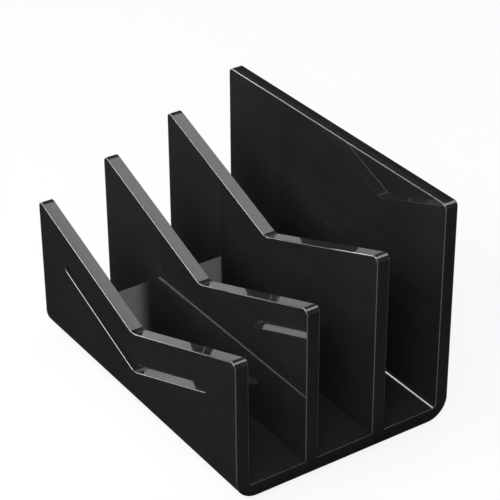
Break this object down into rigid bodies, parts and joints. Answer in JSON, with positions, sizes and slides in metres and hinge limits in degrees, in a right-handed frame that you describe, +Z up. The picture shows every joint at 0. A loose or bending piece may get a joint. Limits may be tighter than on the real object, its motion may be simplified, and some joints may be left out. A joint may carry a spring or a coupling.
{
  "type": "mail organizer",
  "caption": "Free-standing desk letter holder of thick gloss sheet: a bent U of front, base and back with stepped, V-notched upright panels and open-ended compartments.",
  "frame": {"origin": "on the table, under the middle of the organizer", "axes": "+X along the panels to the right as seen from the front, +Y from the low front panel to the tall back panel, +Z up"},
  "size_m": [0.204, 0.14, 0.138],
  "materials": {
    "black_acrylic": "polished black cast sheet with polished cut edges",
    "foot_rubber": "soft matt black bumper"
  },
  "bodies": {
    "root": {"outer_shell": "black_acrylic", "front_divider": "black_acrylic", "rear_divider": "black_acrylic", "foot_front_left": "foot_rubber", "foot_front_right": "foot_rubber", "foot_rear_left": "foot_rubber", "foot_rear_right": "foot_rubber"}
  },
  "joints": []
}
